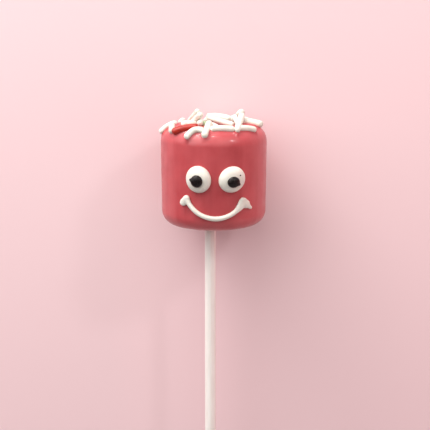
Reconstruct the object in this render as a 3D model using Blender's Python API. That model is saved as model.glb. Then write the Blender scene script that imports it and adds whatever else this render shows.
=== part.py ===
# A marshmallow pop: a marshmallow dipped in rose-red candy coating, on a white paper stick, with
# sugar strands on its top and a piped icing face. It lies on its back with the face up.
#
# The pop is modelled upright, with the stick pointing down and the face towards -Y, under an empty
# that lays it down. Angles round the head start at the face and grow towards +X. Metres throughout.

import math
import random

import bmesh
import bpy
from mathutils import Vector

# Head, measured over the coating. Its bottom is at z = 0.
HEAD_RADIUS = 0.0165
HEAD_HEIGHT = 0.0310
BOTTOM_RADIUS = 0.0163
BOTTOM_ROUND = 0.0044
TOP_ROUND = 0.0050
HEAD_SEGMENTS = 72
ROUND_STEPS = 8

# The coat runs a little thick and thin round the rim: (waves round the head, size, start angle).
RIM_WAVES = ((2, 0.00016, 0.6), (3, 0.00012, 2.1), (5, 0.00007, 4.0))
RIM_WAVES_START = 0.018

# A flat on the back, for lying on a table.
REST_FLAT_DEPTH = 0.00035

# Rolled paper stick, a little off the head's axis.
STICK_RADIUS = 0.00175
STICK_LENGTH = 0.100
STICK_INSIDE = 0.024
STICK_OFFSET = -0.0011
STICK_EDGE = 0.0002
STICK_SEGMENTS = 32

# Clearance between neighbouring pieces.
GAP = 0.0003

# Sugar strands.
STRAND_RADIUS = 0.00096
STRAND_SUNK = 0.00033
STRAND_OVERLAP = 0.00031
STRAND_SIDES = 6
STRAND_STEPS = 12
STRAND_BENT = 0.0005
STRAND_REACH = 0.0130

# Strands scattered on the back half of the top, more or less from front to back: the place of each
# across the top, and the spread that it is drawn with.
SCATTERED_STRANDS = (
    (-0.0054, 0.0008), (0.0006, 0.0016), (0.0030, 0.0016),
    (0.0078, 0.0008), (-0.0010, 0.0016),
)
SCATTER_HEADING = (math.radians(90), math.radians(16))
SCATTER_HALF_LENGTH = (0.0024, 0.0034)
SCATTER_ARCH = 0.0004
SCATTER_BOW = 0.0005
SCATTER_TRIES = 150
SCATTER_SEED = 25

# Strands that give the top its character, the lowest first: start and end in plan, how far the
# middle arches up, how far it bows to the left of the start-to-end direction, and, for one that
# stands with its start planted in the coat, how far its end rises.
PLACED_STRANDS = (
    ((-0.0163, -0.0010), (-0.0122, 0.0014), 0.0004, 0.0, None),
    ((-0.0129, -0.0016), (-0.0128, -0.0089), 0.0003, 0.0, None),
    ((-0.0119, -0.0104), (-0.0053, -0.0115), 0.0003, 0.0, None),
    ((-0.0081, -0.0143), (-0.0036, -0.0136), 0.0008, 0.0007, None),
    ((-0.0042, -0.0047), (-0.0017, -0.0038), 0.0, 0.0, None),
    ((-0.0027, -0.0154), (-0.0014, -0.0092), 0.0, 0.0, 0.0027),
    ((-0.0003, -0.0130), (0.0055, -0.0122), 0.0001, 0.0, None),
    ((0.0080, -0.0106), (0.0122, -0.0080), 0.0002, 0.0, None),
    ((-0.0093, -0.0023), (-0.0056, -0.0008), 0.0, 0.0, None),
    ((-0.0103, 0.0037), (-0.0098, 0.0062), 0.0, 0.0, None),
    ((-0.0037, 0.0024), (-0.0042, -0.0056), 0.0, 0.0, 0.0007),
    ((-0.0065, 0.0022), (-0.0042, -0.0034), 0.0, 0.0, 0.0030),
    ((-0.0075, 0.0060), (-0.0051, 0.0016), 0.0, 0.0, 0.0034),
    ((-0.0027, 0.0042), (-0.0017, 0.0093), 0.0, 0.0, None),
    ((-0.0007, -0.0053), (0.0007, -0.0099), 0.0, 0.0, None),
    ((0.0033, 0.0073), (0.0036, 0.0017), 0.0, 0.0, None),
    ((0.0056, -0.0036), (-0.0012, 0.0010), 0.0, 0.0, 0.0014),
    ((-0.0015, 0.0052), (0.0045, 0.0002), 0.0003, 0.0, None),
    ((0.0075, -0.0022), (0.0065, 0.0006), 0.0, 0.0, 0.0017),
    ((0.0085, 0.0046), (0.0144, -0.0013), 0.0002, 0.0, None),
    ((0.0070, -0.0122), (0.0086, -0.0044), 0.0, 0.0, 0.0034),
    ((0.0070, 0.0066), (0.0086, 0.0008), 0.0004, 0.0, 0.0032),
)

# Icing face. Places are (round the head, up): the first is measured along the curve from the
# front line, the second up from the head's bottom.
EYE_HEIGHT = 0.0023
PUPIL_HEIGHT = 0.0010
DROP_SEGMENTS = 32
DROP_TIP_ANGLE = math.radians(10)

SMILE_CENTRE = (0.00065, 0.01462)
SMILE_RADIUS = 0.00997
SMILE_FROM = math.radians(-153)
SMILE_TO = math.radians(-32)
SMILE_STEPS = 22
SMILE_HALF_WIDTH = 0.00072
SMILE_HALF_DEPTH = 0.00075
SMILE_CENTRE_HEIGHT = 0.00030
SMILE_SIDES = 12

# The smile starts a little thick and swells towards its end: half widths at its first and last steps.
SMILE_START_WIDTHS = (0.0009, 0.0008)
SMILE_END_WIDTHS = (0.0008, 0.0009, 0.0010, 0.0012, 0.0014)

# Cross strokes at the smile's ends: places on the coat, with the stroke's half width at each.
SMILE_LEFT_STROKE = ((-0.00845, 0.01045, 0.00108), (-0.00895, 0.0099, 0.00105), (-0.00945, 0.0093, 0.00115))
SMILE_RIGHT_STROKE = (
    (0.0091, 0.0097, 0.0011), (0.0102, 0.0085, 0.0011),
    (0.01125, 0.00775, 0.00055), (0.0118, 0.0074, 0.00052),
)

# Colours, linear.
ROSE = (0.53, 0.085, 0.10)
PAPER = (0.85, 0.80, 0.77)
WHITE_ICING = (0.87, 0.82, 0.77)
DARK_ICING = (0.020, 0.012, 0.016)


def clear_scene():
    for old in list(bpy.data.objects):
        bpy.data.objects.remove(old, do_unlink=True)


def make_material(name, colour, roughness):
    material = bpy.data.materials.new(name)
    material.use_nodes = True
    shader = material.node_tree.nodes["Principled BSDF"]
    shader.inputs["Base Color"].default_value = (*colour, 1.0)
    shader.inputs["Roughness"].default_value = roughness
    return material


def finish_mesh(bm, name):
    bmesh.ops.recalc_face_normals(bm, faces=bm.faces)
    mesh = bpy.data.meshes.new(name)
    bm.to_mesh(mesh)
    bm.free()
    mesh.shade_smooth()
    mesh.set_sharp_from_angle(angle=math.radians(40))
    return mesh


def add_object(name, mesh, material, parent):
    item = bpy.data.objects.new(name, mesh)
    bpy.context.collection.objects.link(item)
    item.parent = parent
    mesh.materials.clear()
    mesh.materials.append(material)
    return item


# ---- the head's surface ----

TOP_FLAT_RADIUS = HEAD_RADIUS - TOP_ROUND
BOTTOM_FLAT_RADIUS = BOTTOM_RADIUS - BOTTOM_ROUND
TOP_ROUND_Z = HEAD_HEIGHT - TOP_ROUND


def smooth_step(value):
    value = min(max(value, 0.0), 1.0)
    return value * value * (3.0 - 2.0 * value)


def rim_wave(angle, radius, z):
    share = smooth_step(radius / TOP_FLAT_RADIUS) * smooth_step((z - RIM_WAVES_START) / TOP_ROUND)
    return share * sum(size * math.cos(count * angle + start) for count, size, start in RIM_WAVES)


def side_radius(z):
    if z < BOTTOM_ROUND:
        drop = BOTTOM_ROUND - max(z, 0.0)
        return BOTTOM_FLAT_RADIUS + math.sqrt(BOTTOM_ROUND ** 2 - drop ** 2)
    up = min((z - BOTTOM_ROUND) / (TOP_ROUND_Z - BOTTOM_ROUND), 1.0)
    return BOTTOM_RADIUS + (HEAD_RADIUS - BOTTOM_RADIUS) * smooth_step(up)


def on_coat(around, up, height):
    # A point at a height over the side of the head, square to its surface.
    step = 0.0001
    slope = (side_radius(up + step) - side_radius(up - step)) / (2.0 * step)
    across = 1.0 / math.sqrt(1.0 + slope ** 2)
    angle = around / HEAD_RADIUS
    radius = side_radius(up) + height * across
    return Vector((radius * math.sin(angle), -radius * math.cos(angle), up - height * slope * across))


def top_height(x, y, offset):
    # The height of the surface that lies a given offset outside the coat, or None past its edge.
    radius = math.hypot(x, y)
    over = max(radius - TOP_FLAT_RADIUS, 0.0)
    bend = TOP_ROUND + offset
    if over >= bend:
        return None
    z = TOP_ROUND_Z + math.sqrt(bend ** 2 - over ** 2)
    return z + rim_wave(math.atan2(x, -y), radius, z)


# ---- turned pieces ----

def lathe(rings, segments):
    # Rings of (radius, height, centre x) joined in order and closed at both ends.
    bm = bmesh.new()
    loops = []
    for radius, z, centre in rings:
        loop = []
        for index in range(segments):
            angle = 2.0 * math.pi * index / segments
            lift = rim_wave(angle, radius, z)
            place = (centre + radius * math.sin(angle), -radius * math.cos(angle), z + lift)
            loop.append(bm.verts.new(place))
        loops.append(loop)
    for low, high in zip(loops, loops[1:]):
        for index in range(segments):
            following = (index + 1) % segments
            bm.faces.new((low[index], low[following], high[following], high[index]))
    bm.faces.new(loops[0])
    bm.faces.new(loops[-1])
    return bm


def head_rings():
    hole = STICK_RADIUS + GAP
    rings = [(hole, STICK_INSIDE + GAP, STICK_OFFSET), (hole, 0.0, STICK_OFFSET)]
    rings.append((0.5 * (hole + BOTTOM_FLAT_RADIUS), 0.0, 0.5 * STICK_OFFSET))
    for index in range(ROUND_STEPS + 1):
        turn = math.radians(90) * index / ROUND_STEPS
        radius = BOTTOM_FLAT_RADIUS + BOTTOM_ROUND * math.sin(turn)
        rings.append((radius, BOTTOM_ROUND * (1.0 - math.cos(turn)), 0.0))
    for index in range(1, 5):
        z = BOTTOM_ROUND + (TOP_ROUND_Z - BOTTOM_ROUND) * index / 5
        rings.append((side_radius(z), z, 0.0))
    for index in range(ROUND_STEPS + 1):
        turn = math.radians(90) * index / ROUND_STEPS
        radius = TOP_FLAT_RADIUS + TOP_ROUND * math.cos(turn)
        rings.append((radius, TOP_ROUND_Z + TOP_ROUND * math.sin(turn), 0.0))
    for share in (0.72, 0.44, 0.18):
        rings.append((TOP_FLAT_RADIUS * share, HEAD_HEIGHT, 0.0))
    return rings


def build_head():
    bm = lathe(head_rings(), HEAD_SEGMENTS)
    everything = bm.verts[:] + bm.edges[:] + bm.faces[:]
    back = (0.0, HEAD_RADIUS - REST_FLAT_DEPTH, 0.0)
    cut = bmesh.ops.bisect_plane(bm, geom=everything, plane_co=back, plane_no=(0, 1, 0), clear_outer=True)
    rim = [item for item in cut["geom_cut"] if isinstance(item, bmesh.types.BMEdge)]
    bmesh.ops.edgeloop_fill(bm, edges=rim)
    return finish_mesh(bm, "marshmallow")


def build_stick():
    low = STICK_INSIDE - STICK_LENGTH
    rings = (
        (STICK_RADIUS - STICK_EDGE, low, STICK_OFFSET),
        (STICK_RADIUS, low + STICK_EDGE, STICK_OFFSET),
        (STICK_RADIUS, STICK_INSIDE - STICK_EDGE, STICK_OFFSET),
        (STICK_RADIUS - STICK_EDGE, STICK_INSIDE, STICK_OFFSET),
    )
    return finish_mesh(lathe(rings, STICK_SEGMENTS), "stick")


# ---- tubes: sugar strands and piped strokes ----

def tube(points, widths, depths, sides):
    # A tube with round ends, elliptical across: width is level, depth upright.
    ways = [(after - before).normalized() for before, after in zip(points, points[1:])]
    ways = [ways[0]] + [(a + b).normalized() for a, b in zip(ways, ways[1:])] + [ways[-1]]
    stations = [(points[0] - ways[0] * widths[0] * 0.8, ways[0], widths[0] * 0.6, depths[0] * 0.6)]
    stations += list(zip(points, ways, widths, depths))
    stations.append((points[-1] + ways[-1] * widths[-1] * 0.8, ways[-1], widths[-1] * 0.6, depths[-1] * 0.6))
    bm = bmesh.new()
    loops = []
    for place, way, width, depth in stations:
        level = way.cross(Vector((0, 0, 1))).normalized()
        upright = level.cross(way)
        turns = [2.0 * math.pi * (index + 0.5) / sides for index in range(sides)]
        ring = [place + level * width * math.cos(turn) + upright * depth * math.sin(turn) for turn in turns]
        loops.append([bm.verts.new(point) for point in ring])
    for low, high in zip(loops, loops[1:]):
        for index in range(sides):
            following = (index + 1) % sides
            bm.faces.new((low[index], low[following], high[following], high[index]))
    bm.faces.new(loops[0])
    bm.faces.new(loops[-1])
    return bm


def strand_plan(start, end, bow, share):
    # A place along a strand seen from above; share runs from -1 at its start to 1 at its end.
    start, end = Vector(start), Vector(end)
    along = (end - start) / 2.0
    left = Vector((-along.y, along.x)).normalized()
    return (start + end) / 2.0 + along * share + left * bow * (1.0 - share ** 2)


def support_under(place, laid):
    # The height at which a strand's middle line rests over a place, or None past the head's edge.
    touching = 2.0 * STRAND_RADIUS - STRAND_OVERLAP
    coat = top_height(place.x, place.y, STRAND_RADIUS - STRAND_SUNK)
    heights = [] if coat is None else [coat]
    for other in laid:
        apart = math.hypot(other.x - place.x, other.y - place.y)
        if apart < touching:
            heights.append(other.z + math.sqrt(touching ** 2 - apart ** 2))
    return max(heights) if heights else None


def settle(start, end, arch, bow, rise, laid):
    # Lays a stiff strand on the head and on the strands already there. It comes to rest on the two
    # highest supports either side of its middle, so its line is the highest of all such pairs.
    shares = [2.0 * index / STRAND_STEPS - 1.0 for index in range(STRAND_STEPS + 1)]
    plan = [strand_plan(start, end, bow, share) for share in shares]
    if rise is not None:
        slope = rise / 2.0
        middle = support_under(plan[0], []) + slope
    else:
        supports = []
        for share, place in zip(shares, plan):
            height = support_under(place, laid)
            if height is not None:
                supports.append((share, height - arch * (1.0 - share ** 2)))
        lines = []
        for low_share, low in supports:
            for high_share, high in supports:
                if low_share <= 0.0 < high_share:
                    slope = (high - low) / (high_share - low_share)
                    lines.append((low - slope * low_share, slope))
        middle, slope = max(lines)
    heights = [middle + slope * share + arch * (1.0 - share ** 2) for share in shares]
    return [Vector((place.x, place.y, z)) for place, z in zip(plan, heights)]


def scattered_strand(draw, across):
    while True:
        middle = Vector((draw.gauss(*across), draw.uniform(0.1, 1.0) * TOP_FLAT_RADIUS))
        heading = draw.gauss(*SCATTER_HEADING)
        along = Vector((math.cos(heading), math.sin(heading))) * draw.uniform(*SCATTER_HALF_LENGTH)
        arch = draw.uniform(0.0, SCATTER_ARCH)
        bow = draw.uniform(-SCATTER_BOW, SCATTER_BOW)
        ends = (middle - along, middle + along)
        if max(end.length for end in ends) < STRAND_REACH:
            return (*ends, arch, bow, None)


def lay_strands():
    draw = random.Random(SCATTER_SEED)
    laid = []
    lines = []
    for strand in PLACED_STRANDS:
        lines.append(settle(*strand, laid))
        laid += lines[-1]
    for across in SCATTERED_STRANDS:
        tries = [settle(*scattered_strand(draw, across), laid) for count in range(SCATTER_TRIES)]
        # Strands roll into the gaps, so the one that lies lowest is kept.
        lines.append(min(tries, key=lambda line: max(point.z for point in line)))
        laid += lines[-1]
    return lines


def fuse_strands(head):
    strands = bpy.data.collections.new("sugar strands")
    bpy.context.scene.collection.children.link(strands)
    for line in lay_strands():
        bent = (line[0] + line[-1]) / 2.0 - line[STRAND_STEPS // 2]
        points = line[::STRAND_STEPS // (4 if bent.length > STRAND_BENT else 2)]
        sizes = [STRAND_RADIUS] * len(points)
        mesh = finish_mesh(tube(points, sizes, sizes, STRAND_SIDES), "strand")
        strand = bpy.data.objects.new("strand", mesh)
        strand.parent = head.parent
        strands.objects.link(strand)
    union = head.modifiers.new("fused strands", "BOOLEAN")
    union.operation = "UNION"
    union.operand_type = "COLLECTION"
    union.collection = strands
    union.solver = "EXACT"
    apply_modifiers(head)
    for strand in list(strands.objects):
        bpy.data.objects.remove(strand, do_unlink=True)
    bpy.data.collections.remove(strands)


def apply_modifiers(item):
    evaluated = item.evaluated_get(bpy.context.evaluated_depsgraph_get())
    mesh = bpy.data.meshes.new_from_object(evaluated)
    item.modifiers.clear()
    item.data = mesh


# ---- icing drops: eyes and pupils ----

class Drop:
    def __init__(self, centre, half_width, half_height, lean, stretch, height, tip=0.0, tip_at=0.0):
        self.centre = Vector(centre)
        self.half_width = half_width
        self.half_height = half_height
        self.lean = math.radians(lean)
        self.stretch = stretch
        self.height = height
        self.tip = tip
        self.tip_at = math.radians(tip_at)

    def edge(self, angle):
        # An ellipse, drawn out along its lean, with a narrow tip where the nozzle pulled away.
        flat = math.hypot(math.cos(angle) / self.half_width, math.sin(angle) / self.half_height)
        drawn = 1.0 + self.stretch * math.cos(2.0 * (angle - self.lean))
        away = math.remainder(angle - self.tip_at, 2.0 * math.pi)
        return drawn / flat + self.tip * math.exp(-(away / DROP_TIP_ANGLE) ** 2)

    def dome(self, share):
        return self.height * math.sqrt(max(1.0 - share ** 2.4, 0.0))

    def over(self, place):
        away = place - self.centre
        share = away.length / self.edge(math.atan2(away.y, away.x))
        return self.dome(min(share, 1.0))


EYE_LEFT = Drop((-0.00458, 0.01660), 0.00382, 0.00408, 125, 0.02, EYE_HEIGHT)
EYE_RIGHT = Drop((0.00551, 0.01653), 0.0041, 0.00396, 50, 0.03, EYE_HEIGHT)
PUPIL_LEFT = Drop((-0.0045, 0.0164), 0.00162, 0.00186, 100, 0.02, PUPIL_HEIGHT, 0.00045, 166)
PUPIL_RIGHT = Drop((0.00525, 0.01612), 0.00166, 0.0017, 100, 0.0, PUPIL_HEIGHT, 0.0005, -27)


def build_drop(name, drop, floor):
    # A domed front and a back that follows what the drop sits on; floor gives that height.
    shares = (0.3, 0.55, 0.75, 0.89, 0.97, 1.0)
    bm = bmesh.new()

    def ring(share, height):
        loop = []
        for index in range(DROP_SEGMENTS):
            angle = 2.0 * math.pi * index / DROP_SEGMENTS
            away = Vector((math.cos(angle), math.sin(angle))) * drop.edge(angle) * share
            place = drop.centre + away
            loop.append(bm.verts.new(on_coat(place.x, place.y, floor(place) + height)))
        return loop

    def join(inner, outer):
        for index in range(DROP_SEGMENTS):
            following = (index + 1) % DROP_SEGMENTS
            bm.faces.new((inner[index], inner[following], outer[following], outer[index]))

    loops = [ring(share, drop.dome(share)) for share in shares]
    loops += [ring(share, 0.0) for share in (0.7, 0.35)]
    for inner, outer in zip(loops, loops[1:]):
        join(inner, outer)
    for loop, height in ((loops[0], drop.height), (loops[-1], 0.0)):
        middle = bm.verts.new(on_coat(*drop.centre, floor(drop.centre) + height))
        for index in range(DROP_SEGMENTS):
            bm.faces.new((loop[index], loop[(index + 1) % DROP_SEGMENTS], middle))
    return finish_mesh(bm, name)


# ---- the piped smile ----

def smile_strokes():
    # A curved stroke and a short cross stroke at each end: (points, half widths).
    arc = []
    for index in range(SMILE_STEPS + 1):
        angle = SMILE_FROM + (SMILE_TO - SMILE_FROM) * index / SMILE_STEPS
        arc.append(Vector(SMILE_CENTRE) + SMILE_RADIUS * Vector((math.cos(angle), math.sin(angle))))
    plain = SMILE_STEPS + 1 - len(SMILE_START_WIDTHS) - len(SMILE_END_WIDTHS)
    widths = [*SMILE_START_WIDTHS, *[SMILE_HALF_WIDTH] * plain, *SMILE_END_WIDTHS]
    strokes = [(arc, widths)]
    for stroke in (SMILE_LEFT_STROKE, SMILE_RIGHT_STROKE):
        strokes.append(([Vector((around, up)) for around, up, width in stroke], [width for *place, width in stroke]))
    return strokes


def build_smile():
    parts = []
    for points, widths in smile_strokes():
        line = [Vector((point.x, point.y, SMILE_CENTRE_HEIGHT)) for point in points]
        depths = [min(width, SMILE_HALF_DEPTH) for width in widths]
        parts.append(finish_mesh(tube(line, widths, depths, SMILE_SIDES), "stroke"))
    smile = bpy.data.objects.new("smile", parts[0])
    bpy.context.collection.objects.link(smile)
    strokes = bpy.data.collections.new("cross strokes")
    bpy.context.scene.collection.children.link(strokes)
    for mesh in parts[1:]:
        strokes.objects.link(bpy.data.objects.new("stroke", mesh))
    union = smile.modifiers.new("joined strokes", "BOOLEAN")
    union.operation = "UNION"
    union.operand_type = "COLLECTION"
    union.collection = strokes
    apply_modifiers(smile)
    for stroke in list(strokes.objects):
        bpy.data.objects.remove(stroke, do_unlink=True)
    bpy.data.collections.remove(strokes)

    # Cut the back flat, then bend the stroke round the head.
    bm = bmesh.new()
    bm.from_mesh(smile.data)
    everything = bm.verts[:] + bm.edges[:] + bm.faces[:]
    level = (0.0, 0.0, 0.0)
    cut = bmesh.ops.bisect_plane(bm, geom=everything, plane_co=level, plane_no=(0, 0, -1), clear_outer=True)
    rim = [item for item in cut["geom_cut"] if isinstance(item, bmesh.types.BMEdge)]
    bmesh.ops.edgeloop_fill(bm, edges=rim)
    bmesh.ops.triangulate(bm, faces=bm.faces, ngon_method="BEAUTY")
    for vert in bm.verts:
        vert.co = on_coat(vert.co.x, vert.co.y, vert.co.z + GAP)
    mesh = finish_mesh(bm, "smile")
    bpy.data.objects.remove(smile, do_unlink=True)
    return mesh


# ---- the pop ----

def build_pop():
    clear_scene()
    rose = make_material("rose candy coating", ROSE, 0.3)
    paper = make_material("white paper", PAPER, 0.75)
    white = make_material("white icing", WHITE_ICING, 0.45)
    dark = make_material("dark icing", DARK_ICING, 0.4)

    laid_down = bpy.data.objects.new("laid down", None)
    bpy.context.collection.objects.link(laid_down)
    laid_down.rotation_euler.x = math.radians(-90)
    flat_middle = 0.5 * (BOTTOM_ROUND + TOP_ROUND_Z)
    laid_down.location = (0.0, -flat_middle, HEAD_RADIUS - REST_FLAT_DEPTH)

    head = add_object("marshmallow", build_head(), rose, laid_down)
    fuse_strands(head)
    add_object("stick", build_stick(), paper, laid_down)
    for side, eye, pupil in (("left", EYE_LEFT, PUPIL_LEFT), ("right", EYE_RIGHT, PUPIL_RIGHT)):
        add_object("eye_" + side, build_drop("eye", eye, lambda place: GAP), white, laid_down)
        on_eye = build_drop("pupil", pupil, lambda place, eye=eye: eye.over(place) + 2.0 * GAP)
        add_object("pupil_" + side, on_eye, dark, laid_down)
    add_object("smile", build_smile(), white, laid_down)


build_pop()
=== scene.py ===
import math
import random

import bmesh
import bpy
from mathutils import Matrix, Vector


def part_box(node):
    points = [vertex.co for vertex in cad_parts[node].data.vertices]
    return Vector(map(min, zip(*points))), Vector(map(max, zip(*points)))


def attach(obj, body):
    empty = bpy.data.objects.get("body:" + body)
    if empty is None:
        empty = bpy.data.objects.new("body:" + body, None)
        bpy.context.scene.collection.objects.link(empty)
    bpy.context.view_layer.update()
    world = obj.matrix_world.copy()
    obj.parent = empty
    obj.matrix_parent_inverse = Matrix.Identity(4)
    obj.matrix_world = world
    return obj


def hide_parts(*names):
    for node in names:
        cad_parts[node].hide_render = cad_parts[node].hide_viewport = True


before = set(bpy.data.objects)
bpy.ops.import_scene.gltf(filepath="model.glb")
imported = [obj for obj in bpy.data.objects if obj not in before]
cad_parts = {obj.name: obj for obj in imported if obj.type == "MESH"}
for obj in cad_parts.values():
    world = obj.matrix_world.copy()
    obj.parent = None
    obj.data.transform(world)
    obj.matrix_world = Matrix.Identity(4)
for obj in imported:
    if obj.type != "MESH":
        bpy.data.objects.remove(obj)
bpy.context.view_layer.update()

# A marshmallow pop lying on its back. The shapes are worked out upright, stick down and face
# towards -Y, and every point goes through layDown on its way into a mesh. Lengths are metres, but
# for the lists that say mm.

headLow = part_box("marshmallow")[0]
stickLow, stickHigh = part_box("stick")
print("frame loaded with", len(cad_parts), "nodes")

mm = 0.001

head = {
    "radius": 16.5 * mm,
    "height": 31.0 * mm,
    "bottomRadius": 16.3 * mm,
    "bottomRound": 4.4 * mm,
    "topRound": 5.0 * mm,
    "rimWaves": ((2, 0.16 * mm, 0.6), (3, 0.12 * mm, 2.1), (5, 0.07 * mm, 4.0)),  # count, size, start
    "wavesStart": 18.0 * mm,
    "restFlatDepth": 0.35 * mm,
}
topFlat = head["radius"] - head["topRound"]
bottomFlat = head["bottomRadius"] - head["bottomRound"]
topRoundZ = head["height"] - head["topRound"]


# ---- helpers ----

def layDown(point):
    # Turns an upright point over, so that the head's flat spot is on the ground and the face is up.
    x, y, z = point
    return Vector((x, z + headLow[1], head["radius"] - head["restFlatDepth"] - y))


def addNode(tree, kind, settings=None, feeds=None):
    # One node, its settings, and what feeds its inputs: another node's socket or a plain value.
    node = tree.nodes.new(kind)
    for name, value in (settings or {}).items():
        setattr(node, name, value)
    for name, source in (feeds or {}).items():
        if isinstance(source, bpy.types.NodeSocket):
            tree.links.new(source, node.inputs[name])
        else:
            node.inputs[name].default_value = source
    return node


def newTree(name, inputs):
    # An empty Geometry Nodes tree with named inputs, each starting at the number given. For an input
    # that is no number, a word names its kind.
    tree = bpy.data.node_groups.new(name, "GeometryNodeTree")
    tree.interface.new_socket("Geometry", in_out="INPUT", socket_type="NodeSocketGeometry")
    tree.interface.new_socket("Geometry", in_out="OUTPUT", socket_type="NodeSocketGeometry")
    for label, value in inputs.items():
        kind = {str: value, int: "Int", float: "Float"}[type(value)]
        socket = tree.interface.new_socket(label, in_out="INPUT", socket_type="NodeSocket" + kind)
        if kind != value:
            socket.default_value = value
    return tree, tree.nodes.new("NodeGroupInput").outputs, tree.nodes.new("NodeGroupOutput")


def endTree(tree, shape, material, output):
    # Shades the shape smooth, makes it real and gives it its material.
    smooth = addNode(tree, "GeometryNodeSetShadeSmooth", None, {"Geometry": shape})
    real = addNode(tree, "GeometryNodeRealizeInstances", None, {"Geometry": smooth.outputs[0]})
    painted = addNode(tree, "GeometryNodeSetMaterial", None,
                      {"Geometry": real.outputs[0], "Material": material})
    tree.links.new(painted.outputs[0], output.inputs[0])


def runTree(item, tree, values):
    # Runs a tree on an object and leaves its result as the object's plain mesh.
    modifier = item.modifiers.new(tree.name, "NODES")
    modifier.node_group = tree
    for socket in tree.interface.items_tree:
        if socket.in_out == "INPUT" and socket.name in values:
            modifier[socket.identifier] = values[socket.name]
    keepResult(item)


def keepResult(item):
    # Swaps an object's mesh for the one that its modifiers make, and takes the modifiers off.
    shown = item.evaluated_get(bpy.context.evaluated_depsgraph_get())
    mesh = bpy.data.meshes.new_from_object(shown)
    item.modifiers.clear()
    item.data = mesh


def newObject(name, bm):
    # A new object in the scene with this mesh, shaded smooth.
    mesh = bpy.data.meshes.new(name)
    bm.to_mesh(mesh)
    bm.free()
    mesh.shade_smooth()
    item = bpy.data.objects.new(name, mesh)
    bpy.context.collection.objects.link(item)
    return item


def joinRings(rings):
    # Skins rings of points in order, and closes each end with a fan to a middle point.
    bm = bmesh.new()
    loops = [[bm.verts.new(point) for point in ring] for ring in rings]
    count = len(loops[0])
    for low, high in zip(loops, loops[1:]):
        for index in range(count):
            after = (index + 1) % count
            bm.faces.new((low[index], low[after], high[after], high[index]))
    for loop in (loops[0], loops[-1]):
        middle = bm.verts.new(sum((vert.co for vert in loop), Vector()) / count)
        for index in range(count):
            bm.faces.new((loop[index], loop[(index + 1) % count], middle))
    bmesh.ops.recalc_face_normals(bm, faces=bm.faces)
    return bm


def finishPiece(item, slot, *nodes):
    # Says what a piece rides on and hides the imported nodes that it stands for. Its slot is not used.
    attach(item, "root")
    if nodes:
        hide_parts(*nodes)


# ---- materials ----

def linear(hexColour):
    # A screen colour such as "#F8F3EF", as the linear red, green, blue and alpha that shaders take.
    channels = [int(hexColour[start:start + 2], 16) / 255.0 for start in (1, 3, 5)]
    return (*[c / 12.92 if c <= 0.04045 else ((c + 0.055) / 1.055) ** 2.4 for c in channels], 1.0)


def newMaterial(name, values):
    # A material whose shader has these plain values, with its node tree, its shader and the place on
    # the object that its patterns are drawn by.
    material = bpy.data.materials.new(name)
    material.use_nodes = True
    tree = material.node_tree
    shader = tree.nodes["Principled BSDF"]
    for socket, value in values.items():
        shader.inputs[socket].default_value = value
    place = addNode(tree, "ShaderNodeTexCoord").outputs["Object"]
    return material, tree, shader, place


def noise(tree, place, size, detail=2.0, roughness=0.5, stretch=None):
    # Noise whose blotches are about size metres across; stretch lengthens them along an axis.
    if stretch:
        place = addNode(tree, "ShaderNodeMapping", None, {"Vector": place, "Scale": stretch}).outputs[0]
    feeds = {"Vector": place, "Scale": 0.5 / size, "Detail": detail, "Roughness": roughness}
    return addNode(tree, "ShaderNodeTexNoise", None, feeds).outputs[0]


def spread(tree, value, low=0.0, high=1.0, fromLow=0.3, fromHigh=0.7):
    # Stretches the middle of a noise, where nearly all of it lies, to run from low to high.
    feeds = {"Value": value, "From Min": fromLow, "From Max": fromHigh, "To Min": low, "To Max": high}
    return addNode(tree, "ShaderNodeMapRange", None, feeds).outputs[0]


def mixColours(tree, factor, first, second):
    # Inputs 6 and 7 and output 2 are the mix node's colours.
    feeds = {0: factor, 6: first, 7: second}
    return addNode(tree, "ShaderNodeMix", {"data_type": "RGBA"}, feeds).outputs[2]


def bump(tree, height, depth, below=None):
    # Relief of a depth in metres, on top of the relief below it, if there is one.
    feeds = {"Height": height, "Distance": depth}
    if below:
        feeds["Normal"] = below
    return addNode(tree, "ShaderNodeBump", None, feeds).outputs[0]


def candyCoating():
    # Candy melt, dipped and set: a waxy satin shell whose fat lets a little light in, so its shadows
    # stay warm. Faint paler mottling, and soft runs that flowed along the head while it was wet.
    material, tree, shader, place = newMaterial("candy melt coating, dipped", {
        "IOR": 1.46,
        "Subsurface Weight": 0.25, "Subsurface Radius": (1.0, 0.22, 0.20), "Subsurface Scale": 0.7 * mm,
        "Coat Weight": 0.42, "Coat Roughness": 0.12, "Coat IOR": 1.46,
    })
    mottle = spread(tree, noise(tree, place, 2.6 * mm, 3.0))
    streaks = spread(tree, noise(tree, place, 1.1 * mm, 2.0, 0.5, (1.0, 0.12, 1.0)), 0.0, 0.45)
    rose = mixColours(tree, mottle, linear("#BB4C52"), linear("#AE3F45"))
    tree.links.new(mixColours(tree, streaks, rose, linear("#C25459")), shader.inputs["Base Color"])
    tree.links.new(spread(tree, noise(tree, place, 1.6 * mm), 0.36, 0.46), shader.inputs["Roughness"])
    runs = bump(tree, noise(tree, place, 1.3 * mm, 1.0, 0.5, (1.0, 0.14, 1.0)), 0.08 * mm)
    skin = bump(tree, noise(tree, place, 0.35 * mm), 0.012 * mm, runs)
    tree.links.new(skin, shader.inputs["Normal"])
    return material


def sugarStrand(name, body, shade):
    # Extruded sugar strand, polished in the pan: an opaque waxy white or tint, slightly grainy.
    material, tree, shader, place = newMaterial(name, {
        "Roughness": 0.42, "IOR": 1.48, "Subsurface Weight": 0.4,
        "Subsurface Radius": (1.0, 0.9, 0.8), "Subsurface Scale": 0.4 * mm,
    })
    blotch = spread(tree, noise(tree, place, 0.9 * mm, 3.0))
    tree.links.new(mixColours(tree, blotch, linear(body), linear(shade)), shader.inputs["Base Color"])
    tree.links.new(bump(tree, noise(tree, place, 0.26 * mm, 3.0), 0.06 * mm), shader.inputs["Normal"])
    return material


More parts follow.
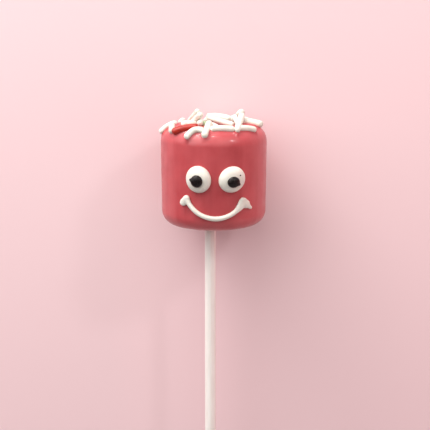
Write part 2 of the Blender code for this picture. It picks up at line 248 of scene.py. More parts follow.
def whiteIcing():
    # Royal icing, piped and air dried: an eggshell white with a fine sugary tooth.
    material, tree, shader, place = newMaterial("royal icing, white, dried", {
        "Roughness": 0.45, "IOR": 1.48, "Subsurface Weight": 0.3,
        "Subsurface Radius": (1.0, 0.85, 0.7), "Subsurface Scale": 0.5 * mm,
    })
    blotch = spread(tree, noise(tree, place, 1.4 * mm))
    white = mixColours(tree, blotch, linear("#E3E2D9"), linear("#DAD7CE"))
    tree.links.new(white, shader.inputs["Base Color"])
    tree.links.new(bump(tree, noise(tree, place, 0.16 * mm, 3.0), 0.012 * mm), shader.inputs["Normal"])
    return material


def darkIcing():
    # Royal icing coloured near black: brown-black, with sugar grains that catch pin-points of light.
    material, tree, shader, place = newMaterial("royal icing, near black, dried", {
        "Roughness": 0.32, "IOR": 1.4, "Specular IOR Level": 0.35,
    })
    sugar = noise(tree, place, 0.18 * mm, 3.0, 0.7)
    grains = spread(tree, sugar, 0.0, 1.0, 0.5, 0.72)
    black = mixColours(tree, grains, linear("#0E0809"), linear("#33282A"))
    tree.links.new(black, shader.inputs["Base Color"])
    tree.links.new(bump(tree, sugar, 0.06 * mm), shader.inputs["Normal"])
    return material


def rolledPaper():
    # White kraft paper rolled into a stick and pressed: matt, with long faint fibres.
    material, tree, shader, place = newMaterial("rolled paper, white, uncoated", {
        "Roughness": 0.82, "IOR": 1.5, "Subsurface Weight": 0.15,
        "Subsurface Radius": (1.0, 0.9, 0.8), "Subsurface Scale": 0.3 * mm,
    })
    fibres = noise(tree, place, 0.22 * mm, 4.0, 0.6, (1.0, 0.06, 1.0))
    paper = mixColours(tree, spread(tree, fibres), linear("#F8F3EF"), linear("#F0E9E4"))
    tree.links.new(paper, shader.inputs["Base Color"])
    tree.links.new(bump(tree, fibres, 0.02 * mm), shader.inputs["Normal"])
    return material


coatMaterial = candyCoating()
strandWhite = sugarStrand("sugar strand, white", "#E6E8DF", "#DBDCD0")
strandRed = sugarStrand("sugar strand, red", "#AE2614", "#9C1F11")
strandGreen = sugarStrand("sugar strand, grey-green", "#A0B591", "#91A682")
icingMaterial = whiteIcing()
pupilMaterial = darkIcing()
paperMaterial = rolledPaper()
print("materials made")


# ---- the head's surface ----

def smoothStep(value):
    value = min(max(value, 0.0), 1.0)
    return value * value * (3.0 - 2.0 * value)


def rimWave(angle, radius, z):
    # How far the uneven rim stands above or below a true turned one.
    share = smoothStep(radius / topFlat) * smoothStep((z - head["wavesStart"]) / head["topRound"])
    return share * sum(size * math.cos(count * angle + start) for count, size, start in head["rimWaves"])


def sideRadius(z):
    # The head's radius at a height below its top round.
    if z < head["bottomRound"]:
        drop = head["bottomRound"] - max(z, 0.0)
        return bottomFlat + math.sqrt(head["bottomRound"] ** 2 - drop ** 2)
    up = min((z - head["bottomRound"]) / (topRoundZ - head["bottomRound"]), 1.0)
    return head["bottomRadius"] + (head["radius"] - head["bottomRadius"]) * smoothStep(up)


def onCoat(around, up, height):
    # A point at a height over the side of the head, square to its surface.
    step = 0.1 * mm  # either side, to measure the slope
    slope = (sideRadius(up + step) - sideRadius(up - step)) / (2.0 * step)
    across = 1.0 / math.sqrt(1.0 + slope ** 2)
    angle = around / head["radius"]
    radius = sideRadius(up) + height * across
    return Vector((radius * math.sin(angle), -radius * math.cos(angle), up - height * slope * across))


def topHeight(x, y, offset):
    # The height over a place of a surface that lies an offset outside the coat, or None past its edge.
    radius = math.hypot(x, y)
    over = max(radius - topFlat, 0.0)
    bend = head["topRound"] + offset
    if over >= bend:
        return None
    z = topRoundZ + math.sqrt(bend ** 2 - over ** 2)
    return z + rimWave(math.atan2(x, -y), radius, z)


# ---- sugar strands: where each one lies ----

strands = {
    "radius": 0.96 * mm,
    "sunk": 0.33 * mm,  # into the coat
    "overlap": 0.31 * mm,  # how far one strand sinks into another
    "steps": 12,
    "past": 0.8 * mm,  # how far a strand's end reaches past the last point that it rests at
    "red": 2,  # places in the list below
    "green": 4,
    # in mm: start and end in plan, arch, bow, and the rise of one that stands planted in the coat
    "placed": (
        ((-16.25, -1.0), (-12.2, 1.4), 0.45, 0.0, None),
        ((-12.9, -1.6), (-12.8, -8.9), 0.3, 0.0, None),
        ((-11.9, -10.4), (-5.3, -11.5), 0.35, 0.0, None),
        ((-8.1, -14.3), (-3.6, -13.6), 0.8, 0.7, None),
        ((-4.2, -4.7), (-1.7, -3.8), 0.0, 0.0, None),
        ((-2.75, -15.4), (-1.4, -9.2), 0.0, 0.0, 2.7),
        ((-0.3, -13.0), (5.5, -12.2), 0.15, 0.0, None),
        ((8.0, -10.6), (12.2, -8.0), 0.2, 0.0, None),
        ((-9.3, -2.3), (-5.6, -0.8), 0.0, 0.0, None),
        ((-10.3, 3.7), (-9.8, 6.2), 0.0, 0.0, None),
        ((-3.7, 2.4), (-4.2, -5.6), 0.0, 0.0, 0.7),
        ((-6.5, 2.2), (-4.2, -3.4), 0.0, 0.0, 3.0),
        ((-7.5, 6.0), (-5.1, 1.6), 0.0, 0.0, 3.4),
        ((-2.7, 4.2), (-1.7, 9.3), 0.0, 0.0, None),
        ((-0.7, -5.3), (0.7, -9.9), 0.0, 0.0, None),
        ((3.3, 7.3), (3.6, 1.7), 0.0, 0.0, None),
        ((5.6, -3.6), (-1.2, 1.0), 0.0, 0.0, 1.4),
        ((-1.5, 5.2), (4.5, 0.2), 0.3, 0.0, None),
        ((7.5, -2.2), (6.5, 0.6), 0.0, 0.0, 1.7),
        ((8.5, 4.6), (14.4, -1.3), 0.2, 0.0, None),
        ((7.0, -12.2), (8.6, -4.4), 0.0, 0.0, 3.4),
        ((7.0, 6.6), (8.6, 0.8), 0.4, 0.0, 3.2),
    ),
    # in mm, one for each strand scattered on the back half: place across the top, and its spread
    "scattered": ((-5.4, 0.8), (0.6, 1.6), (3.0, 1.6), (7.8, 0.8), (-1.0, 1.6)),
    "tries": 150,
    "seed": 25,
    "reach": 13.0 * mm,  # no scattered strand's end lies further out
    "towardsBack": (0.1, 1.0),  # shares of the flat top's radius
    "heading": (math.radians(90), math.radians(16)),  # and its spread
    "halfLength": (2.4 * mm, 3.4 * mm),
    "mostArch": 0.4 * mm,
    "mostBow": 0.5 * mm,
}


def supportUnder(place, laid):
    # How high the middle of a strand lies over a place, on the coat or on the strands laid before it.
    touching = 2.0 * strands["radius"] - strands["overlap"]
    coat = topHeight(place.x, place.y, strands["radius"] - strands["sunk"])
    heights = [] if coat is None else [coat]
    for other in laid:
        apart = math.hypot(other.x - place.x, other.y - place.y)
        if apart < touching:
            heights.append(other.z + math.sqrt(touching ** 2 - apart ** 2))
    return max(heights) if heights else None


def settle(start, end, arch, bow, rise, laid):
    # Lays a stiff strand on the two supports, one either side of its middle, that hold it highest.
    # One with a rise is planted in the coat at its start instead, and slopes up from there.
    shares = [2.0 * index / strands["steps"] - 1.0 for index in range(strands["steps"] + 1)]
    start, end = Vector(start), Vector(end)
    along = (end - start) / 2.0
    left = Vector((-along.y, along.x)).normalized()
    plan = [(start + end) / 2.0 + along * share + left * bow * (1.0 - share ** 2) for share in shares]
    if rise is not None:
        slope = rise / 2.0
        middle = supportUnder(plan[0], []) + slope
    else:
        supports = []
        for share, place in zip(shares, plan):
            height = supportUnder(place, laid)
            if height is not None:
                supports.append((share, height - arch * (1.0 - share ** 2)))
        lines = []
        for lowShare, low in supports:
            for highShare, high in supports:
                if lowShare <= 0.0 < highShare:
                    slope = (high - low) / (highShare - lowShare)
                    lines.append((low - slope * lowShare, slope))
        middle, slope = max(lines)
    heights = [middle + slope * share + arch * (1.0 - share ** 2) for share in shares]
    return [Vector((place.x, place.y, z)) for place, z in zip(plan, heights)]


def scatteredStrand(draw, across, spread):
    # A strand drawn at random on the back half: start, end, arch, bow and no rise.
    while True:
        x = draw.gauss(across * mm, spread * mm)
        y = draw.uniform(*strands["towardsBack"]) * topFlat
        middle = Vector((x, y))
        heading = draw.gauss(*strands["heading"])
        along = Vector((math.cos(heading), math.sin(heading))) * draw.uniform(*strands["halfLength"])
        arch = draw.uniform(0.0, strands["mostArch"])
        bow = draw.uniform(-strands["mostBow"], strands["mostBow"])
        ends = (middle - along, middle + along)
        if max(end.length for end in ends) < strands["reach"]:
            return (*ends, arch, bow, None)


def layStrands():
    # The middle line of every strand. Of the tries for a scattered one, the lowest is kept.
    draw = random.Random(strands["seed"])
    laid = []
    lines = []
    for start, end, arch, bow, rise in strands["placed"]:
        start = [value * mm for value in start]
        end = [value * mm for value in end]
        rise = None if rise is None else rise * mm
        lines.append(settle(start, end, arch * mm, bow * mm, rise, laid))
        laid += lines[-1]
    for across, spread in strands["scattered"]:
        tries = [settle(*scatteredStrand(draw, across, spread), laid)
                 for count in range(strands["tries"])]
        lines.append(min(tries, key=lambda line: max(point.z for point in line)))
        laid += lines[-1]
    return lines


def lineObject(name, lines):
    # Middle lines as edges, each drawn out a little at both ends.
    bm = bmesh.new()
    for line in lines:
        line = [line[0] + (line[0] - line[1]).normalized() * strands["past"], *line,
                line[-1] + (line[-1] - line[-2]).normalized() * strands["past"]]
        verts = [bm.verts.new(layDown(point)) for point in line]
        for first, second in zip(verts, verts[1:]):
            bm.edges.new((first, second))
    return newObject(name, bm)


strandLines = layStrands()
print("strands laid:", len(strandLines))


# ---- sugar strands: their bodies, swept along those lines ----

strandBody = {
    "Strand Radius": strands["radius"],
    "Round End": 0.85 * mm,
    "Thick And Thin": 0.13,  # share of the radius, from strand to strand
    "Lumps": 0.10 * mm,
    "Lump Size": 1.3 * mm,
    "Ring Spacing": 0.12 * mm,
    "Sides": 16,
}


def strandTree():
    # Sweeps a circle along each line, with round ends and the small unevenness of extruded sugar.
    tree, given, output = newTree("sugar strands", strandBody | {"Seed": 0, "Material": "Material"})
    curve = addNode(tree, "GeometryNodeMeshToCurve", None, {"Mesh": given["Geometry"]})
    bent = addNode(tree, "GeometryNodeCurveSplineType", {"spline_type": "CATMULL_ROM"},
                   {"Curve": curve.outputs[0]})
    even = addNode(tree, "GeometryNodeResampleCurve", {"mode": "LENGTH"},
                   {"Curve": bent.outputs[0], "Length": given["Ring Spacing"]})

    whole = addNode(tree, "GeometryNodeSplineLength").outputs["Length"]
    gone = addNode(tree, "GeometryNodeSplineParameter").outputs["Length"]
    left = addNode(tree, "ShaderNodeMath", {"operation": "SUBTRACT"}, {0: whole, 1: gone}).outputs[0]
    near = addNode(tree, "ShaderNodeMath", {"operation": "MINIMUM"}, {0: gone, 1: left}).outputs[0]
    share = addNode(tree, "ShaderNodeMapRange", None,
                    {"Value": near, "From Max": given["Round End"],
                     "To Min": 1.0, "To Max": 0.0}).outputs[0]
    square = addNode(tree, "ShaderNodeMath", {"operation": "MULTIPLY"}, {0: share, 1: share}).outputs[0]
    # a round end, with the 0.02 over one so that its last ring keeps some width
    rest = addNode(tree, "ShaderNodeMath", {"operation": "SUBTRACT"}, {0: 1.02, 1: square}).outputs[0]
    dome = addNode(tree, "ShaderNodeMath", {"operation": "SQRT"}, {0: rest}).outputs[0]

    # inputs 2 and 3 and output 1 are the random node's plain numbers
    which = addNode(tree, "GeometryNodeCurveOfPoint").outputs["Curve Index"]
    girth = addNode(tree, "FunctionNodeRandomValue", {"data_type": "FLOAT"},
                    {2: -1.0, 3: 1.0, "ID": which, "Seed": given["Seed"]}).outputs[1]
    swing = addNode(tree, "ShaderNodeMath", {"operation": "MULTIPLY_ADD"},
                    {0: girth, 1: given["Thick And Thin"], 2: 1.0}).outputs[0]
    thick = addNode(tree, "ShaderNodeMath", {"operation": "MULTIPLY"},
                    {0: given["Strand Radius"], 1: swing}).outputs[0]
    radius = addNode(tree, "ShaderNodeMath", {"operation": "MULTIPLY"}, {0: thick, 1: dome}).outputs[0]

    circle = addNode(tree, "GeometryNodeCurvePrimitiveCircle", None,
                     {"Resolution": given["Sides"], "Radius": 1.0}).outputs[0]
    body = addNode(tree, "GeometryNodeCurveToMesh", None,
                   {"Curve": even.outputs[0], "Profile Curve": circle,
                    "Scale": radius, "Fill Caps": True})

    place = addNode(tree, "GeometryNodeInputPosition").outputs[0]
    pitch = addNode(tree, "ShaderNodeMath", {"operation": "DIVIDE"},
                    {0: 1.0, 1: given["Lump Size"]}).outputs[0]
    lumps = addNode(tree, "ShaderNodeTexNoise", {"noise_dimensions": "4D"},
                    {"Vector": place, "W": given["Seed"], "Scale": pitch, "Detail": 2.0}).outputs["Color"]
    centred = addNode(tree, "ShaderNodeVectorMath", {"operation": "SUBTRACT"},
                      {0: lumps, 1: (0.5, 0.5, 0.5)}).outputs[0]
    push = addNode(tree, "ShaderNodeVectorMath", {"operation": "SCALE"},
                   {0: centred, "Scale": given["Lumps"]}).outputs[0]
    moved = addNode(tree, "GeometryNodeSetPosition", None, {"Geometry": body.outputs[0], "Offset": push})
    endTree(tree, moved.outputs[0], given["Material"], output)
    return tree


tree = strandTree()
chosen = (strands["red"], strands["green"])
whiteLines = [line for index, line in enumerate(strandLines) if index not in chosen]
kinds = (  # name, material, seed of its unevenness, lines
    ("strandsWhite", strandWhite, 845, whiteLines),
    ("strandRed", strandRed, 861, [strandLines[strands["red"]]]),
    ("strandGreen", strandGreen, 1, [strandLines[strands["green"]]]),
)
for name, material, seed, lines in kinds:
    piece = lineObject(name, lines)
    runTree(piece, tree, strandBody | {"Seed": seed, "Material": material})
    finishPiece(piece, "candy_coating", "marshmallow")
    print(name, len(piece.data.polygons), "faces")


# ---- the coating ----

coat = {
    "segments": 384,
    "fineStep": 0.28 * mm,  # between rings on the rounds and the top
    "sideStep": 0.5 * mm,  # between rings elsewhere
    "collar": 0.5 * mm,  # how far the coating creeps down the stick
    "collarWidth": 0.9 * mm,
    "collarRings": 6,
    "insideStick": (0.5, 0.97),  # shares of its radius, for the rings that close the shell out of sight
}
coatBody = {
    "Strand Radius": 0.90 * mm,
    "Climb Height": 0.40 * mm,
    "Climb Reach": 1.1 * mm,
    "Climb Hollow": 2.2,  # how hollow the slope up to a strand is; 1 is straight
    "Run Depth": 0.10 * mm,
    "Run Spacing": 2.6 * mm,
    "Run Length": 14.0 * mm,
    "Rest Clear": 1.5 * mm,  # the height over which the relief fades in above the rest flat
    "Seed": 3,
}


def coatTree():
    # Lets a turned head's surface climb the feet of the strands and run thick and thin down its side.
    tree, given, output = newTree("dipped coating",
                                  coatBody | {"Strand Lines": "Object", "Material": "Material"})
    lines = addNode(tree, "GeometryNodeObjectInfo", None,
                    {"Object": given["Strand Lines"]}).outputs["Geometry"]
    away = addNode(tree, "GeometryNodeProximity", {"target_element": "EDGES"}, {"Geometry": lines})
    far = addNode(tree, "ShaderNodeMath", {"operation": "ADD"},
                  {0: given["Strand Radius"], 1: given["Climb Reach"]}).outputs[0]
    near = addNode(tree, "ShaderNodeMapRange", None,
                   {"Value": away.outputs["Distance"], "From Min": given["Strand Radius"],
                    "From Max": far, "To Min": 1.0, "To Max": 0.0}).outputs[0]
    curved = addNode(tree, "ShaderNodeMath", {"operation": "POWER"},
                     {0: near, 1: given["Climb Hollow"]}).outputs[0]
    climb = addNode(tree, "ShaderNodeMath", {"operation": "MULTIPLY"},
                    {0: curved, 1: given["Climb Height"]}).outputs[0]

    place = addNode(tree, "GeometryNodeInputPosition").outputs[0]
    size = addNode(tree, "ShaderNodeCombineXYZ", None,
                   {"X": given["Run Spacing"], "Y": given["Run Length"],
                    "Z": given["Run Spacing"]}).outputs[0]
    scaled = addNode(tree, "ShaderNodeVectorMath", {"operation": "DIVIDE"},
                     {0: place, 1: size}).outputs[0]
    waves = addNode(tree, "ShaderNodeTexNoise", {"noise_dimensions": "4D"},
                    {"Vector": scaled, "W": given["Seed"], "Scale": 1.0, "Detail": 1.0}).outputs[0]
    runs = addNode(tree, "ShaderNodeMath", {"operation": "SUBTRACT"}, {0: waves, 1: 0.5}).outputs[0]
    lift = addNode(tree, "ShaderNodeMath", {"operation": "MULTIPLY_ADD"},
                   {0: runs, 1: given["Run Depth"], 2: climb}).outputs[0]

    up = addNode(tree, "ShaderNodeSeparateXYZ", None, {0: place}).outputs["Z"]
    clear = addNode(tree, "ShaderNodeMapRange", None,
                    {"Value": up, "From Max": given["Rest Clear"]}).outputs[0]
    kept = addNode(tree, "ShaderNodeMath", {"operation": "MULTIPLY"}, {0: lift, 1: clear}).outputs[0]
    outward = addNode(tree, "GeometryNodeInputNormal").outputs[0]
    push = addNode(tree, "ShaderNodeVectorMath", {"operation": "SCALE"},
                   {0: outward, "Scale": kept}).outputs[0]
    moved = addNode(tree, "GeometryNodeSetPosition", None,
                    {"Geometry": given["Geometry"], "Offset": push})
    endTree(tree, moved.outputs[0], given["Material"], output)
    return tree


def coatProfile():
    # The head's rings from the stick to the top's middle: radius, height, and how far the centre is
    # over towards the stick's, from 0 to 1.
    stickRadius = (stickHigh[0] - stickLow[0]) / 2.0
    rings = [(share * stickRadius, -coat["collar"], 1.0) for share in coat["insideStick"]]
    for index in range(coat["collarRings"] + 1):
        turn = math.radians(90) * index / coat["collarRings"]
        radius = stickRadius + coat["collarWidth"] * (1.0 - math.cos(turn))
        rings.append((radius, -coat["collar"] * (1.0 - math.sin(turn)), 1.0))
    start = rings[-1][0]
    count = round((bottomFlat - start) / coat["sideStep"])
    for index in range(1, count):
        share = index / count
        rings.append((start + (bottomFlat - start) * share, 0.0, 1.0 - share))
    count = round(0.5 * math.pi * head["bottomRound"] / coat["fineStep"])
    for index in range(count + 1):
        turn = 0.5 * math.pi * index / count
        radius = bottomFlat + head["bottomRound"] * math.sin(turn)
        rings.append((radius, head["bottomRound"] * (1.0 - math.cos(turn)), 0.0))
    count = round((topRoundZ - head["bottomRound"]) / coat["sideStep"])
    for index in range(1, count):
        z = head["bottomRound"] + (topRoundZ - head["bottomRound"]) * index / count
        rings.append((sideRadius(z), z, 0.0))
    count = round(0.5 * math.pi * head["topRound"] / coat["fineStep"])
    for index in range(count + 1):
        turn = 0.5 * math.pi * index / count
        radius = topFlat + head["topRound"] * math.cos(turn)
        rings.append((radius, topRoundZ + head["topRound"] * math.sin(turn), 0.0))
    count = round(topFlat / coat["fineStep"])
    for index in range(1, count):
        rings.append((topFlat * (1.0 - index / count), head["height"], 0.0))
    return rings


def makeCoat():
    # One shell over the whole head, cut flat where it rests.
    stickMiddle = (stickLow[0] + stickHigh[0]) / 2.0
    back = head["radius"] - head["restFlatDepth"]
    rings = []
    for radius, z, toStick in coatProfile():
        ring = []
        for index in range(coat["segments"]):
            angle = 2.0 * math.pi * index / coat["segments"]
            x = stickMiddle * toStick + radius * math.sin(angle)
            y = min(-radius * math.cos(angle), back)
            ring.append(layDown((x, y, z + rimWave(angle, radius, z))))
        rings.append(ring)
    piece = newObject("coating", joinRings(rings))
    guides = lineObject("strand guides", strandLines)
    runTree(piece, coatTree(), coatBody | {"Strand Lines": guides, "Material": coatMaterial})
    bpy.data.objects.remove(guides, do_unlink=True)
    return piece


piece = makeCoat()
finishPiece(piece, "candy_coating", "marshmallow")
print("coating", len(piece.data.polygons), "faces")


# ---- icing drops: eyes and pupils ----

drops = {
    "segments": 96,
    "rings": 22,
    "clearance": 0.3 * mm,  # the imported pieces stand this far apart; here they touch
    "belly": 0.45 * mm,  # height of an eye's widest line
    "tipAngle": math.radians(14),
    "crown": 2.4,  # 2 is a plain ellipse in section, more is fuller
    # where a drop turns in under its belly: shares of its edge and of its belly's height
    "tuck": ((0.995, 0.72), (0.98, 0.42), (0.955, 0.15), (0.94, -0.2), (0.5, -0.3)),
    "eyeHeight": 2.3 * mm,
    "pupilHeight": 1.2 * mm,
    "pupilBelly": 0.3 * mm,
    "speckHeight": 0.12 * mm,
    "speckBelly": 0.04 * mm,
    # in mm and degrees: centre round and up the head, half width, half height, the way it is drawn
    # out, by what share, its tip's length, where the tip is
    "eyeLeft": (-4.58, 16.60, 3.82, 4.08, 125, 0.02, 0.0, 0),
    "eyeRight": (5.51, 16.53, 4.10, 3.96, 50, 0.03, 0.0, 0),
    "pupilLeft": (-4.50, 16.40, 1.62, 1.86, 100, 0.02, 0.45, 166),
    "pupilRight": (5.25, 16.12, 1.66, 1.7, 100, 0.0, 0.5, -27),
    "speck": (7.25, 18.0, 0.22, 0.20, 0, 0.0, 0.0, 0),
}


def dropEdge(drop, angle):
    # How far a drop reaches in a direction: an ellipse, drawn out along its lean, with a narrow tip.
    halfWidth, halfHeight, lean, stretch, tip, tipAt = drop[2:]
    flat = math.hypot(math.cos(angle) / (halfWidth * mm), math.sin(angle) / (halfHeight * mm))
    drawn = 1.0 + stretch * math.cos(2.0 * (angle - math.radians(lean)))
    away = math.remainder(angle - math.radians(tipAt), 2.0 * math.pi)
    return drawn / flat + tip * mm * math.exp(-(away / drops["tipAngle"]) ** 2)


def domeHeight(share, height, belly):
    # The height of a drop's top at a share of the way from its middle to its edge.
    return belly + (height - belly) * math.sqrt(max(1.0 - share ** drops["crown"], 0.0))


def heightOver(drop, place, height):
    # The height of an eye's top over a place round and up the head.
    centre = Vector(drop[:2]) * mm
    away = place - centre
    share = away.length / dropEdge(drop, math.atan2(away.y, away.x))
    return domeHeight(min(share, 1.0), height, drops["belly"])


def makeDrop(name, drop, height, belly, floor, material):
    # Domed on top, widest at its belly, tucked in where it meets what it sits on.
    outline = []
    for index in range(1, drops["rings"] + 1):
        share = math.sin(0.5 * math.pi * index / drops["rings"])
        outline.append((share, domeHeight(share, height, belly)))
    outline += [(share, level * belly) for share, level in drops["tuck"]]
    rings = []
    for share, level in outline:
        ring = []
        for index in range(drops["segments"]):
            angle = 2.0 * math.pi * index / drops["segments"]
            out = Vector((math.cos(angle), math.sin(angle))) * dropEdge(drop, angle) * share
            place = Vector(drop[:2]) * mm + out
            ring.append(layDown(onCoat(place.x, place.y, floor(place) + level)))
        rings.append(ring)
    piece = newObject(name, joinRings(rings))
    piece.data.materials.append(material)
    return piece


eyeHeight = drops["eyeHeight"] + drops["clearance"]
for side in ("Left", "Right"):
    eye = drops["eye" + side]
    node = "_" + side.lower()
    piece = makeDrop("eye" + side, eye, eyeHeight, drops["belly"], lambda place: 0.0, icingMaterial)
    finishPiece(piece, "white_icing", "eye" + node)
    onEye = lambda place, eye=eye: heightOver(eye, place, eyeHeight)
    piece = makeDrop("pupil" + side, drops["pupil" + side], drops["pupilHeight"], drops["pupilBelly"],
                     onEye, pupilMaterial)
    finishPiece(piece, "dark_icing", "pupil" + node)
# a stray speck on the right eye, the last one made
piece = makeDrop("icingSpeck", drops["speck"], drops["speckHeight"], drops["speckBelly"],
                 onEye, pupilMaterial)
finishPiece(piece, "dark_icing")
print("eyes and pupils made")


# ---- the piped smile ----

smile = {
    # in mm and degrees, on the head's side rolled out flat
    "centre": (0.65, 14.62),
    "radius": 9.97,
    "from": -153,
    "to": -32,
    "halfWidth": 0.72,
    "halfDepth": 0.75,
    # share of the arc over which it swells, and how much wider half of it is at the end, in mm
    "leftSwell": (0.08, 0.2),
    "rightSwell": (0.2, 0.7),
    "steps": 64,
    "sides": 24,
    "capTurns": (0.35, 0.7, 1.0, 1.3),  # radians, where the rings of a round end lie
    "middleHeight": 0.60 * mm,
    "voxel": 0.10 * mm,
    "smoothing": (8, 0.5),  # rounds, and how far each goes
    # cross strokes, in mm: (round, up, half width) along each
    "leftEnd": ((-8.45, 10.45, 1.08), (-8.95, 9.9, 1.05), (-9.45, 9.3, 1.15)),
    "rightEnd": ((9.1, 9.7, 1.1), (10.4, 8.4, 1.35), (11.3, 7.75, 0.65), (11.85, 7.35, 0.54)),
}


def smileWidth(share):
    # Half width along the arc from left to right. It swells into the cross stroke at each end.
    reach, growth = smile["leftSwell"]
    if share < reach:
        return smile["halfWidth"] + growth * (1.0 - share / reach)
    reach, growth = smile["rightSwell"]
    return smile["halfWidth"] + growth * smoothStep((share - (1.0 - reach)) / reach)


def strokeRings(points):
    # A round-ended tube through (round, up, half width), flattened to the depth of the line.
    ways = [Vector(b[:2]) - Vector(a[:2]) for a, b in zip(points, points[1:])]
    ways = [ways[0]] + [(a + b) for a, b in zip(ways, ways[1:])] + [ways[-1]]
    stations = []
    for (x, y, width), way in zip(points, ways):
        stations.append((Vector((x, y)), way.normalized(), width))
    for index in (0, -1):
        place, way, width = stations[index]
        outward = -way if index == 0 else way
        ends = [(place + outward * width * math.sin(turn), way, width * math.cos(turn))
                for turn in smile["capTurns"]]
        stations = ends[::-1] + stations if index == 0 else stations + ends
    rings = []
    for place, way, width in stations:
        side = Vector((-way.y, way.x))
        depth = min(width, smile["halfDepth"])
        ring = []
        for index in range(smile["sides"]):
            turn = 2.0 * math.pi * index / smile["sides"]
            spot = place + side * width * math.cos(turn)
            ring.append(Vector((spot.x, spot.y, depth * math.sin(turn))) * mm)
        rings.append(ring)
    return rings


def makeSmile():
    # The arc and its cross strokes, run together into one line of icing and laid on the coat.
    arc = []
    for index in range(smile["steps"] + 1):
        share = index / smile["steps"]
        angle = math.radians(smile["from"] + (smile["to"] - smile["from"]) * share)
        x = smile["centre"][0] + smile["radius"] * math.cos(angle)
        y = smile["centre"][1] + smile["radius"] * math.sin(angle)
        arc.append((x, y, smileWidth(share)))
    whole = bmesh.new()
    for points in (arc, smile["leftEnd"], smile["rightEnd"]):
        stroke = joinRings(strokeRings(points))
        mesh = bpy.data.meshes.new("stroke")
        stroke.to_mesh(mesh)
        stroke.free()
        whole.from_mesh(mesh)
        bpy.data.meshes.remove(mesh)
    piece = newObject("smileIcing", whole)
    remesh = piece.modifiers.new("one line of icing", "REMESH")
    remesh.mode = "VOXEL"
    remesh.voxel_size = smile["voxel"]
    soften = piece.modifiers.new("settled", "SMOOTH")
    soften.iterations, soften.factor = smile["smoothing"]
    keepResult(piece)
    for vert in piece.data.vertices:
        vert.co = layDown(onCoat(vert.co.x, vert.co.y, vert.co.z + smile["middleHeight"]))
    piece.data.shade_smooth()
    piece.data.materials.append(icingMaterial)
    return piece


piece = makeSmile()
finishPiece(piece, "white_icing", "smile")
print("smile", len(piece.data.polygons), "faces")


# ---- the paper stick ----

stick = {
    "segments": 96,
    "sideParts": 10,
    "wrap": 0.07 * mm,  # paper thickness, and so the step at the seam
    "seam": math.radians(35),
    "seamFade": (0.8, 0.2),  # share of the radius where the step starts, and over which it grows
    "edge": 0.12 * mm,
    "easedEdge": (0.3, 0.1),  # shares of that, inwards and along, for the rounding of the cut end
    "endRings": 44,
    "spiral": 3.0,  # spacing of its turns at the cut end, in paper thicknesses
    "groove": 0.05 * mm,  # depth between the turns
    "grooveWidth": 0.25,  # half of it, as a share of the spacing
}


def makeStick():
    # A long sheet rolled up tight: its free edge is a low step along the stick, and its cut end shows
    # the turns as a spiral.
    radius = (stickHigh[0] - stickLow[0]) / 2.0
    middle = Vector(((stickLow[0] + stickHigh[0]) / 2.0, (stickLow[2] + stickHigh[2]) / 2.0))
    spacing = stick["spiral"] * stick["wrap"]

    def ring(share, y, grooved):
        fadeFrom, fadeOver = stick["seamFade"]
        points = []
        for index in range(stick["segments"]):
            angle = 2.0 * math.pi * index / stick["segments"]
            turned = (angle - stick["seam"]) % (2.0 * math.pi) / (2.0 * math.pi)
            reach = radius * share - stick["wrap"] * turned * smoothStep((share - fadeFrom) / fadeOver)
            dip = 0.0
            if grooved:
                phase = (reach / spacing + turned) % 1.0
                dip = stick["groove"] * max(1.0 - abs(phase - 0.5) / stick["grooveWidth"], 0.0)
            x, z = middle.x + reach * math.sin(angle), middle.y + reach * math.cos(angle)
            points.append(Vector((x, y + dip, z)))
        return points

    low, high = stickLow[1], stickHigh[1]
    inward, along = stick["easedEdge"]
    rings = [ring(index / stick["endRings"], low, True) for index in range(1, stick["endRings"])]
    rings.append(ring(1.0 - stick["edge"] / radius * inward, low + stick["edge"] * along, False))
    rings.append(ring(1.0, low + stick["edge"], False))
    for index in range(1, stick["sideParts"]):
        rings.append(ring(1.0, low + (high - low) * index / stick["sideParts"], False))
    rings.append(ring(1.0, high - stick["edge"], False))
    rings.append(ring(1.0 - stick["edge"] / radius, high, False))
    piece = newObject("paperStick", joinRings(rings))
    piece.data.materials.append(paperMaterial)
    return piece


piece = makeStick()
finishPiece(piece, "stick_paper", "stick")
print("stick", len(piece.data.polygons), "faces")


# ---- floor, lights and camera ----

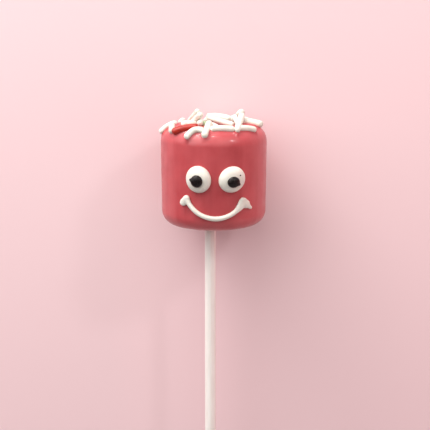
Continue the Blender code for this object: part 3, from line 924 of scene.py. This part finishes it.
studio = {
    "floor": "#EFD0D5",
    "floorReach": 3.0,
    "ambient": "#FFEDEA",
    "ambientStrength": 0.13,
    "cameraTilt": math.radians(11.64),
    "cameraDistance": 0.400,
    "clipStart": 0.01,
    "sensor": 36.0,  # mm, as is the lens
    "lens": 106.3,
    "target": (0.383 * mm, -12.84 * mm, 16.15 * mm),
    "lightsFace": (0.0, 0.0, 0.016),
    # name, place, size, power in watts, colour
    "lights": (
        ("key", (0.0, 0.42, 0.42), (1.20, 0.80), 3.5, "#FFFAF4"),
        ("strip", (-0.17, 0.40, 0.115), (0.38, 0.020), 1.7, "#FFFAF4"),
        ("left window", (-0.38, 0.30, 0.24), (0.55, 0.60), 2.0, "#FFFFFF"),
        ("right glint", (0.25, 0.27, 0.25), (0.06, 0.03), 0.25, "#FFFFFF"),
        ("right wall", (0.42, -0.05, 0.10), (0.60, 0.25), 0.55, "#FFA0A0"),
        ("low wall", (0.15, -0.60, 0.36), (1.60, 0.90), 1.9, "#FFFFFF"),
    ),
}


def makeStudio():
    bm = bmesh.new()
    bmesh.ops.create_grid(bm, x_segments=1, y_segments=1, size=studio["floorReach"])
    floor = newObject("floor", bm)
    board = {"Base Color": linear(studio["floor"]), "Roughness": 0.9}
    floor.data.materials.append(newMaterial("painted board, pale, matt", board)[0])

    world = bpy.data.worlds.new("studio")
    bpy.context.scene.world = world
    world.use_nodes = True
    sky = world.node_tree.nodes["Background"]
    sky.inputs["Color"].default_value = linear(studio["ambient"])
    sky.inputs["Strength"].default_value = studio["ambientStrength"]

    aim = Vector(studio["lightsFace"])
    for name, place, size, power, colour in studio["lights"]:
        light = bpy.data.lights.new(name, "AREA")
        light.shape = "RECTANGLE"
        light.size, light.size_y = size
        light.energy = power
        light.color = linear(colour)[:3]
        item = bpy.data.objects.new(name, light)
        item.location = place
        item.rotation_euler = (aim - Vector(place)).to_track_quat("-Z", "Y").to_euler()
        bpy.context.collection.objects.link(item)

    lens = bpy.data.cameras.new("camera")
    lens.sensor_width = studio["sensor"]
    lens.lens = studio["lens"]
    lens.clip_start = studio["clipStart"]
    camera = bpy.data.objects.new("camera", lens)
    tilt = studio["cameraTilt"]
    back = Vector((0.0, math.sin(tilt), math.cos(tilt)))
    camera.location = Vector(studio["target"]) + back * studio["cameraDistance"]
    camera.rotation_euler = (-tilt, 0.0, 0.0)
    bpy.context.collection.objects.link(camera)
    bpy.context.scene.camera = camera
    bpy.context.scene.view_settings.view_transform = "Standard"


makeStudio()
print("studio set")
